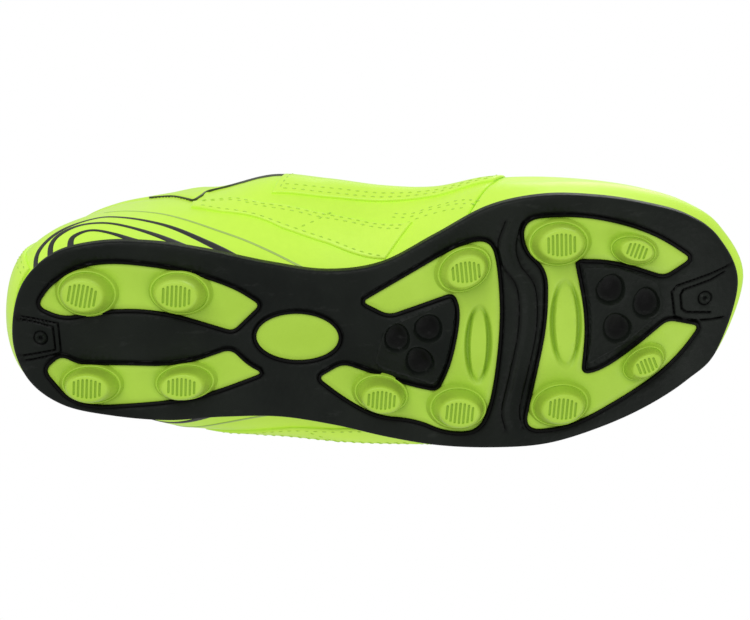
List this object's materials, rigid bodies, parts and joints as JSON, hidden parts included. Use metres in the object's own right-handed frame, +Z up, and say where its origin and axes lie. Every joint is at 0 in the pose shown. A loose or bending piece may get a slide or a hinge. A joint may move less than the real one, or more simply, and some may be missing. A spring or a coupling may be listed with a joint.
{
  "type": "soccer cleat",
  "caption": "Low-cut soccer cleat, left shoe, with a moulded two-colour studded outsole, padded collar, laced throat and a hinged padded tongue.",
  "frame": {"origin": "middle of the shoe's footprint box, on the ground plane that the stud tips stand on", "axes": "+X towards the toe, +Y towards the outer (lateral) side of this left shoe, +Z up"},
  "size_m": [0.2526, 0.0935, 0.094],
  "materials": {
    "black_tpu": "satin moulded outsole plastic, lightly scuffed",
    "green_tpu": "satin moulded plastic, slightly translucent yellow-green",
    "fibre_board": "pressed fibre board, matte",
    "sockliner_textile": "brushed knit over foam",
    "white_foam": "open-cell foam, matte",
    "stay_tape": "woven stiffening tape",
    "lining_textile": "black mesh lining",
    "lace_textile": "flat woven polyester lace",
    "tongue_synthetic": "fine-grained synthetic leather",
    "neon_synthetic": "smooth synthetic leather, fluorescent yellow-green, semi-gloss"
  },
  "bodies": {
    "shoe": {"outsole_plate": "black_tpu", "heel_insert_medial": "green_tpu", "heel_insert_lateral": "green_tpu", "waist_insert": "green_tpu", "mid_insert": "green_tpu", "front_insert": "green_tpu", "insole_board": "fibre_board", "sockliner": "sockliner_textile", "vamp": "neon_synthetic", "vamp_foam": "white_foam", "toe_puff": "fibre_board", "vamp_lining": "lining_textile", "quarter_medial": "neon_synthetic", "quarter_lateral": "neon_synthetic", "heel_counter": "fibre_board", "quarter_foam_medial": "white_foam", "quarter_foam_lateral": "white_foam", "collar_pad": "white_foam", "quarter_lining_medial": "lining_textile", "quarter_lining_lateral": "lining_textile", "backstay": "neon_synthetic", "heel_tab": "neon_synthetic", "saddle_medial": "neon_synthetic", "saddle_lateral": "neon_synthetic", "eyestay_medial": "neon_synthetic", "eyestay_lateral": "neon_synthetic", "eyelet_tape_medial": "stay_tape", "eyelet_tape_lateral": "stay_tape", "lace": "lace_textile"},
    "tongue": {"tongue_face": "tongue_synthetic", "tongue_foam": "white_foam", "tongue_lining": "lining_textile"}
  },
  "joints": [
    {"name": "tongue_hinge", "type": "hinge", "parent": "shoe", "child": "tongue", "pos_m": [0.0455, -0.0048, 0.054], "axis": [0, 1, 0], "range_deg": [-12, 0], "stiffness_Nm_per_rad": 0.6}
  ]
}
